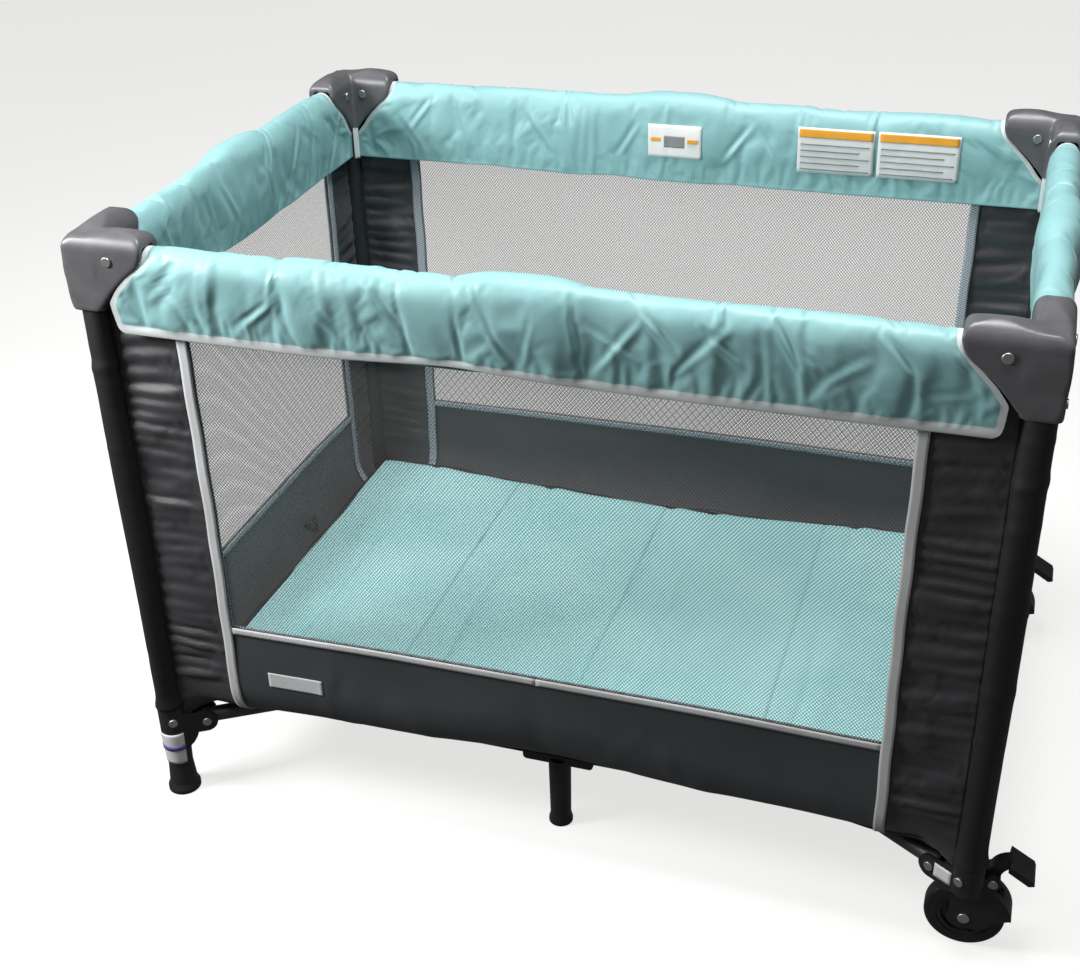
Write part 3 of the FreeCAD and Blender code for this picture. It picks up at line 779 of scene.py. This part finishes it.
def wall_finish(piece, side, sign, flat=None):
    """Hang a half-wall piece on its own leg."""
    end = end_of(side, sign)
    corner = corner_of(side, end)
    axis, keep = (((1, 0, 0), KEEP_X), ((0, 1, 0), KEEP_Y))[SIDES[side]["axis"]]
    side_point(side, sign * SIDES[side]["half"], 0, 0.4)
    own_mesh(piece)
    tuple(axis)
    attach(piece, "leg_" + corner)


def corner_panel(side, sign, seed):
    """The dark strip of a wall beside a leg, gathered so that it ripples up its height."""
    half = SIDES[side]["half"]
    share = np.linspace(0, 1, 27)
    wide = tape_line(0.17, half)
    n, z = wall_lines(PANEL_START + share * (wide - PANEL_START), half, PANEL_TOP, 170)
    s = PANEL_START + share[None, :] * (tape_line(z, half) - PANEL_START)
    ripple = wrinkles(z, s / 0.1, 40, 0.0036, 0.0058, 0.006, seed, (0.8, 2.0))
    ripple += wrinkles(z, s / 0.1, 10, 0.0020, 0.022, 0.02, seed + 1, (0.8, 1.6))
    phase = z * 360 + 1.7 * np.sin(z * 41 + seed) + 1.5 * share * np.sin(z * 27 + 2 * seed)
    ripple += 0.0022 * np.sin(phase) * (0.65 + 0.35 * np.sin(z * 19 + seed)) * (1.1 - 0.7 * share)
    loose = 0.25 + 0.75 * np.sin(math.pi * share) ** 0.5
    n = n + level_off(ripple, PANEL_RIPPLE) * loose[None, :]
    run = run_down(n * 0, z)
    panel = grid_piece("corner_panel_" + side + "_" + end_of(side, sign),
                       wall_place(side, sign, s, n, z), stack(s, run), [PANEL])
    held = np.ones(n.shape, bool)
    held[2:-11, 2:-2] = False
    simulate(panel, np.flatnonzero(held), growth=0.012, pressure=0, frames=8, cap=0.0012)
    thicken(panel, 0.0012)
    flat = (float(s[:, -1].mean() - PANEL_START) * 1.02, float(run[-1].mean()) * 1.10)
    wall_finish(panel, side, sign, flat)


def wall(side, seed):
    """The lower band of a whole wall, with its netting window, tapes and corner panels."""
    half = SIDES[side]["half"]
    t = np.linspace(-1, 1, 2 * int(half / 0.007) + 1)

    # Lower band, made in one piece and then cut in two at the middle.
    reach = float(half - tape_line(0.2, half) + 0.001)
    s = half - np.abs(t) * reach
    n, z = wall_lines(s, half, BAND_TOP[side], 26)
    edge = half - tape_line(z, half) + 0.001
    along = t[None, :] * edge
    wave_seed = seed * 1.7
    z = z + 0.0022 * np.sin(along * 21 + wave_seed) * smooth_step(0.22 - z, 0.0, 0.04)
    z = z + 0.004 * smooth_step(1 - np.abs(t), 0.0, 0.6)[None, :] * smooth_step(z, 0.22, 0.26)
    n = n + 0.0018 * np.sin(along * 16 + wave_seed) * np.sin(np.clip((z - 0.15) / 0.11, 0, 1) * math.pi)
    n = n + wrinkles(along, z * 5, 22, 0.0018, 0.012, 0.05, seed + 5, (0.2, 0.7))
    run = run_down(n * 0, z)
    band = grid_piece("band_whole", places(side, along, n + OFF_WALL, z), stack(along, run), [BAND])
    SURFACES["band_" + side] = BVHTree.FromObject(band, bpy.context.evaluated_depsgraph_get())
    top = (along[0], n[0], z[0])
    flat = (reach, float(run[-1].mean()) * 1.12)
    for sign in (-1, 1):
        name = side + "_" + end_of(side, sign)
        piece = part_of(band, "lower_band_" + name, SIDES[side]["axis"], SIDES[side]["middle"], sign)
        wall_finish(piece, side, sign, flat)
        corner_panel(side, sign, seed + 20 + sign)
        netting(side, sign, name, half)
        side_tapes(side, sign, half, seed)
        band_tapes(side, sign, top)
    bpy.data.objects.remove(band)


def netting(side, sign, name, half):
    """Half of a see-through netting window, drawn in slightly between its edges."""
    low = BAND_TOP[side]
    z = np.linspace(WALL_TOP, low - 0.003, 36)[:, None]
    start = tape_line(z, half) + TAPE_WIDTH * 0.5
    s = start + np.linspace(0, 1, 50)[None, :] * (half - start)
    z = z + 0.004 * smooth_step(s, 0.10, half) * smooth_step(0.30 - z, 0.0, 0.03)
    bow = np.sin(math.pi * (z - low) / (WALL_TOP - low)) * smooth_step(s, 0.08, 0.2)
    points = wall_place(side, sign, s, -0.004 * bow, z)
    piece = grid_piece("netting_" + name, points, stack(s, z), [NET])
    wall_finish(piece, side, sign, (half - by_side(0.103, half), WALL_TOP - low))


def tape_pair(kind, side, sign, t, n, z, uv, offsets, thickness):
    """A light tape outside a wall and an overlocked edge inside it."""
    for where, offset, look in zip(("outer", "inner"), offsets, (TAPE, GREY_TAPE)):
        tape = grid_piece(kind + "_" + where + "_" + side + "_" + end_of(side, sign),
                          places(side, t, n + offset, z), uv, [look])
        thicken(tape, thickness)
        wall_finish(tape, side, sign)


def side_tapes(side, sign, half, seed):
    """The tapes up each side of a window."""
    share = np.linspace(0, 1, 5)
    n, z = wall_lines(tape_line(0.2, half) + share * TAPE_WIDTH, half, PANEL_TOP, 70)
    s = tape_line(z, half) + share[None, :] * TAPE_WIDTH - 0.001 + 0.0004 * np.sin(z * 70 + seed)
    tape_pair("side_tape", side, sign, sign * (half - s), n + OFF_WALL, z, stack(s, z),
              (0.0028, -0.0028), 0.0013)


def band_tapes(side, sign, top):
    """The tapes along the top of the band."""
    along, n, z = (values[np.sign(top[0]) * sign >= 0] for values in top)
    keep = np.abs(along) < np.abs(along).max() - TAPE_WIDTH + 0.002
    t, n, z = (np.repeat(values[keep][None, :], 4, 0) for values in (along, n, z))
    z = z + np.linspace(0.0012, -0.0070, 4)[:, None]
    tape_pair("band_tape", side, sign, t, n, z, stack(z, t), (0.0024, -0.0026), 0.0012)


# ---- tub floor ----------------------------------------------------------------------------
def tub_floor(corner):
    """A quarter of the tub's floor, hung on its base tube."""
    sign_x, sign_y = CORNERS[corner]
    inset = TURN_DEPTH[0] - 0.004
    wide, deep = POST_X - inset, POST_Y - inset
    x, y = even_grid((0.0005, wide), 40, (0.0005, deep), 30)
    z = np.full_like(x, FLOOR_Z - 0.0004)
    points = stack(CX + sign_x * x, sign_y * y, z)
    piece = grid_piece("tub_floor_" + corner, points, stack(x, y), [BAND])
    thicken(piece, 0.0011)
    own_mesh(piece)
    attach(piece, "base_tube_" + corner)
    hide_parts("tub_corner_" + corner)


# ---- mattress -----------------------------------------------------------------------------
FOLD_LINES = (                     # soft creases across the mattress: x in front, x behind
    (-0.185, -0.178), (0.050, 0.066), (0.258, 0.272), (-0.380, -0.365), (-0.020, 0.010),
)
PANELS = 4
PAD_TOP_DROP = 0.0060              # from the CAD panel's top to the pad's rim
WAIST_SPAN = (0.04, 0.40)          # from the middle of the pen, where the mattress widens again


def mattress_top(x, y, seed):
    """Height of the quilted top above its flat level."""
    fold = np.zeros_like(x)
    for front, behind in FOLD_LINES:
        line = CX + front + (behind - front) * (y + 0.3) / 0.6 + 0.003 * np.sin(y * 23 + front * 40)
        fold += 0.0022 * hump(x, line + 0.017, 0.014) - 0.0036 * hump(x, line, 0.0065)
    soft = 0.0012 * np.sin(x * 19 + 1.3 * np.sin(y * 9)) * np.sin(y * 14 + 0.8)
    soft += wrinkles(x + 0.35 * y, (y + 0.3) / 0.6, 5, 0.0013, 0.014, 0.05, seed, (0.3, 0.8))
    soft += wrinkles(x - 0.6 * y, (y + 0.3) / 0.6, 4, 0.0012, 0.011, 0.03, seed + 40, (0.3, 0.8))
    return fold + soft


def mattress_panel(index):
    """One padded panel: a crowned top with creases, round edges and a narrower underside."""
    node = "mattress_panel_" + str(index)
    low, high = (Vector(corner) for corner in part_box(node))
    wide, deep = high.x - low.x, high.y - low.y
    a, b = even_grid((-1, 1), 62, (-1, 1), 150)
    x = (low.x + high.x) / 2 + a * (wide / 2 + 0.0004)
    waist = 0.022 * (1 - smooth_step(np.abs(x - CX), *WAIST_SPAN))
    y = (low.y + high.y) / 2 + b * (deep / 2 - waist)
    outer = np.where(a < 0, index == 1, index == PANELS)
    edge_x = np.clip((1 - np.abs(a)) / np.where(outer, 0.028, 0.006) * wide / 2, 0, 1)
    edge_y = np.clip((1 - np.abs(b)) * deep / 2 / 0.022, 0, 1)
    round_x = np.sqrt(1 - (1 - edge_x) ** 2)
    round_y = np.sqrt(1 - (1 - edge_y) ** 2)
    crown = (1 - np.where(outer, 1.0, 0.10) * (1 - round_x)) * round_y
    top = PAD_HIGH - PAD_TOP_DROP + 0.0065 * crown + mattress_top(x, y, 90 + index) * crown
    piece = grid_piece("mattress_pad_" + str(index), stack(x, y, top), stack(x, y), [PAD, BAND])
    add_underside(piece, index, low, high)
    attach(piece, "mattress_" + str(index))
    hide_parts(node)
    mattress_piping(index, low, high)


def add_underside(piece, index, low, high):
    """Close a mattress panel below with a smaller outline, in the dark fabric."""
    narrower = 1 - 0.036 / ((high.y - low.y) / 2)
    shorter = 1 - 0.034 / (high.x - low.x)
    fixed_x = {1: high.x, PANELS: low.x}.get(index)
    mesh = bmesh.new()
    mesh.from_mesh(piece.data)
    made = bmesh.ops.extrude_edge_only(mesh, edges=[e for e in mesh.edges if e.is_boundary])
    for vert in made["geom"]:
        if not isinstance(vert, bmesh.types.BMVert):
            continue
        vert.co.z = PAD_LOW + 0.0015
        vert.co.y *= narrower
        if fixed_x is not None:
            vert.co.x = fixed_x + (vert.co.x - fixed_x) * shorter
    bmesh.ops.contextual_create(mesh, geom=[e for e in mesh.edges if e.is_boundary])
    bmesh.ops.recalc_face_normals(mesh, faces=mesh.faces)
    for face in mesh.faces:
        inside = low.x + 0.002 < face.calc_center_median().x < high.x - 0.002
        if face.normal.z < 0.3 and not (abs(face.normal.x) > 0.9 and inside):
            face.material_index = 1
    mesh.to_mesh(piece.data)
    mesh.free()


def mattress_piping(index, low, high):
    """Dark edge binding round the outside of the mattress, one length per panel."""
    z = PAD_HIGH - 0.0048

    def waist(x):
        return 0.0215 * float(1 - smooth_step(np.array(abs(x - CX)), *WAIST_SPAN)) + 0.003

    runs = {
        "front": [(x, low.y + waist(x), z) for x in np.linspace(low.x, high.x, 40)],
        "back": [(x, high.y - waist(x), z) for x in np.linspace(low.x, high.x, 40)],
    }
    end_x = {1: low.x + 0.002, PANELS: high.x - 0.002}.get(index)
    if end_x is not None:
        runs["end"] = [(end_x, y, z) for y in np.linspace(low.y + 0.004, high.y - 0.004, 90)]
    for where, path in runs.items():
        wavy = [(x + 0.0010 * math.sin(37 * y + 3), y + 0.0012 * math.sin(29 * x),
                 h + 0.0016 * math.sin(31 * x + 23 * y) + 0.0010 * math.sin(83 * x + 61 * y))
                for x, y, h in path]
        tube = tube_piece("mattress_binding_" + where + "_" + str(index), wavy, 0.0036, SLEEVE)
        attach(tube, "mattress_" + str(index))


# ---- labels -------------------------------------------------------------------------------
LOW, HIGH = 0.0006, 0.0014         # a patch above its surface, and a mark on the patch


def patch(name, points, uv, material, body, on_cover=None):
    """A thin patch through a grid of points. One on a rail cover folds with it."""
    piece = grid_piece(name, points, uv, [material])
    thicken(piece, 0.0005)
    if on_cover:
        side_point(on_cover, 0, 0, RAIL_Z)
        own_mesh(piece)
    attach(piece, body)


def on_surface(side, surface, t_range, z_range, start_n, raised):
    """A grid of points just off a side's surface, met from start_n outward of the leg axes."""
    t, z = even_grid(t_range, 22, z_range, 12)
    points = np.zeros((*t.shape, 3))
    for i in np.ndindex(t.shape):
        start = Vector(side_point(side, t[i], start_n, z[i]))
        aim = (Vector(side_point(side, t[i], 0, z[i])) - start).normalized()
        points[i] = SURFACES[surface].ray_cast(start, aim)[0] - aim * raised
    return points, stack(t, z)


def back_label(name, t_range, z_range, material, body, raised):
    """A patch inside the back rail's cover, flatter than the cloth under it."""
    points, uv = on_surface("back", "back", t_range, z_range, -0.08, raised)
    points[..., 1] = 0.7 * points[..., 1].mean(0)[None, :] + 0.3 * points[..., 1] - 0.0012
    patch("label_" + name, points, uv, material, body, on_cover="back")


def back_labels():
    """Plain labels inside the back rail: blank patches with a coloured bar and grey bars."""
    body = "latch_back"
    back_label("symbol", (-0.038, 0.032), (0.655, 0.698), LABEL, body, LOW)
    for k, start in enumerate((-0.034, 0.014)):
        back_label("symbol_bar_" + str(k), (start, start + 0.013), (0.676, 0.681), LABEL_ORANGE,
                   body, HIGH)
    back_label("symbol_box", (-0.017, 0.010), (0.669, 0.684), LABEL_GREY, body, HIGH)
    body = "rail_back_right"
    for k, (left, right) in enumerate(((0.154, 0.249), (0.253, 0.352))):
        name = "care_" + str(k)
        back_label(name, (left, right), (0.647, 0.706), LABEL, body, LOW)
        back_label(name + "_head", (left + 0.002, right - 0.002), (0.694, 0.704), LABEL_ORANGE,
                   body, HIGH)
        for row in range(5):
            z = 0.6515 + 0.0082 * row
            end = right - 0.006 - 0.012 * (row % 2)
            back_label(name + "_line_" + str(row), (left + 0.004, end), (z, z + 0.0013), LABEL_GREY,
                       body, HIGH)


def leg_stickers():
    """Plain stickers on the front left foot and on the front wheel bracket."""
    z, a = even_grid((0.046, 0.092), 14, np.radians((-138, -24)), 20)
    radius = np.interp(z, (0.040, 0.084, 0.1), (0.0150, 0.0170, 0.0170)) + 0.0006
    for name, rows, look, extra in (("", slice(0, 14), LABEL, 0.0),
                                    ("_band", slice(6, 9), LABEL_VIOLET, 0.0006)):
        r, turn, height = radius[rows] + extra, a[rows], z[rows]
        points = stack(left_post.x + r * np.cos(turn), left_post.y + r * np.sin(turn), height)
        patch("foot_sticker" + name, points, stack(turn * 0.016, height), look,
              "leg_front_left")
    inward = Vector((SPAN_IN - POST_X, POST_Y - SPAN_IN, 0)).normalized()
    face = right_post - Vector((inward.y, -inward.x, 0)) * 0.0143
    z, d = even_grid((0.0945, 0.1125), 6, (0.0112, 0.0325), 6)
    points = stack(face.x + inward.x * d, face.y + inward.y * d, z)
    patch("bracket_sticker", points, stack(d, z), LABEL, "leg_front_right")


def band_mark():
    """A small plain woven tag on the front band."""
    points, uv = on_surface("front", "band_front", (-0.330, -0.262), (0.186, 0.206), 0.08, 0.0008)
    piece = grid_piece("woven_tag", points, uv, [TAPE])
    thicken(piece, 0.0007)
    wall_finish(piece, "front", -1)


def small_tabs():
    """A fastening tab behind the mattress and a short strap loop on the left wall."""
    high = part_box("mattress_panel_4")[1]
    x, y = even_grid((high.x - 0.062, high.x - 0.010), 10, (high.y - 0.010, high.y + 0.002), 4)
    z = PAD_HIGH + 0.0012 + 0.001 * np.sin(x * 90)
    tab = grid_piece("mattress_tab", stack(x, y, z), stack(y, x), [GREY_TAPE])
    thicken(tab, 0.0012)
    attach(tab, "mattress_4")
    start = Vector((CX - POST_X + 0.002, 0.060, 0.158))
    path = [start + Vector((0.010 * math.sin(a), 0.030 * a / math.pi, 0.004 * math.sin(2 * a)))
            for a in np.linspace(0, math.pi, 13)]
    wall_finish(tube_piece("strap_loop", path, 0.0030, SLEEVE, sides=8), "left", 1)


# ---- surroundings -------------------------------------------------------------------------
def backdrop():
    """A pale floor that curves up far away. It takes shadows but lights nothing."""
    flat, curve, top = 5.0, 3.0, 8.0   # radius of the level part, of its curve up, and the height
    rings = [(radius, 0.0) for radius in (0.0, 1.0, 2.5, 4.0, flat)]
    rings += [(flat + curve * math.sin(a), curve - curve * math.cos(a))
              for a in np.linspace(0.1, math.pi / 2, 14)]
    rings.append((flat + curve, top))
    radius, height = (np.array(values)[:, None] for values in zip(*rings))
    around = np.linspace(0, 2 * math.pi, 73)[None, :]
    points = stack(radius * np.cos(around), radius * np.sin(around), height + 0 * around - 0.0005)
    material, tree, shader = new_material("studio_floor")
    base = colour_by_noise(tree, coordinates(tree, "Object"), 1.5, [0.29] * 3, [0.32] * 3)
    put(shader, Base_Color=base, Roughness=0.9, Emission_Color=(1.0, 0.995, 0.985, 1),
        Emission_Strength=0.74)
    material.cycles.emission_sampling = "NONE"
    floor = grid_piece("studio_floor", points, points[..., :2], [material])
    floor.visible_diffuse = False
    floor.visible_glossy = False
    floor.visible_shadow = False


def lighting():
    """A dim white surround and three soft lamps."""
    world = bpy.data.worlds.new("studio")
    world.use_nodes = True
    put(world.node_tree.nodes["Background"], Color=(1.0, 1.0, 1.0, 1), Strength=0.11)
    bpy.context.scene.world = world
    lights = (                     # name, place, aim, power, size
        ("top", (0.10, -0.25, 2.6), (0.05, 0.02, 0.3), 64, 0.9),
        ("window", (-1.20, -0.80, 1.15), (-0.45, -0.3, 0.40), 25, 0.4),
        ("front", (0.7, -2.2, 3.0), (0.1, -0.3, 0.3), 7, 0.4),
    )
    for name, place, aim, power, size in lights:
        data = bpy.data.lights.new(name, "AREA")
        data.energy = power
        data.size = size
        lamp = add_object(name, data)
        lamp.location = place
        lamp.rotation_euler = (Vector(aim) - Vector(place)).to_track_quat("-Z", "Y").to_euler()
        lamp.visible_camera = False


def camera():
    """The photograph's own viewpoint, fitted to the pen's corners, rails and feet."""
    data = bpy.data.cameras.new("camera")
    data.sensor_width = 36.0
    data.lens = 50.31
    view = add_object("camera", data)
    view.location = (CX + 0.4351, -1.5600, 1.2631)
    view.rotation_euler = [math.radians(a) for a in (60.06, 1.41, 18.06)]
    bpy.context.scene.camera = view


# ---- build --------------------------------------------------------------------------------
bpy.context.scene.view_settings.view_transform = "Standard"
camera()
backdrop()
lighting()
paint_cad_nodes()
for number, side_name in enumerate(SIDES):
    rail_cover(side_name, 10 + 5 * number)
    wall(side_name, 60 + 7 * number)
for corner_name in CORNERS:
    leg_sleeve(corner_name)
    inner_corner_strip(corner_name)
    tub_floor(corner_name)
for panel_index in range(1, PANELS + 1):
    mattress_panel(panel_index)
back_labels()
leg_stickers()
band_mark()
small_tabs()
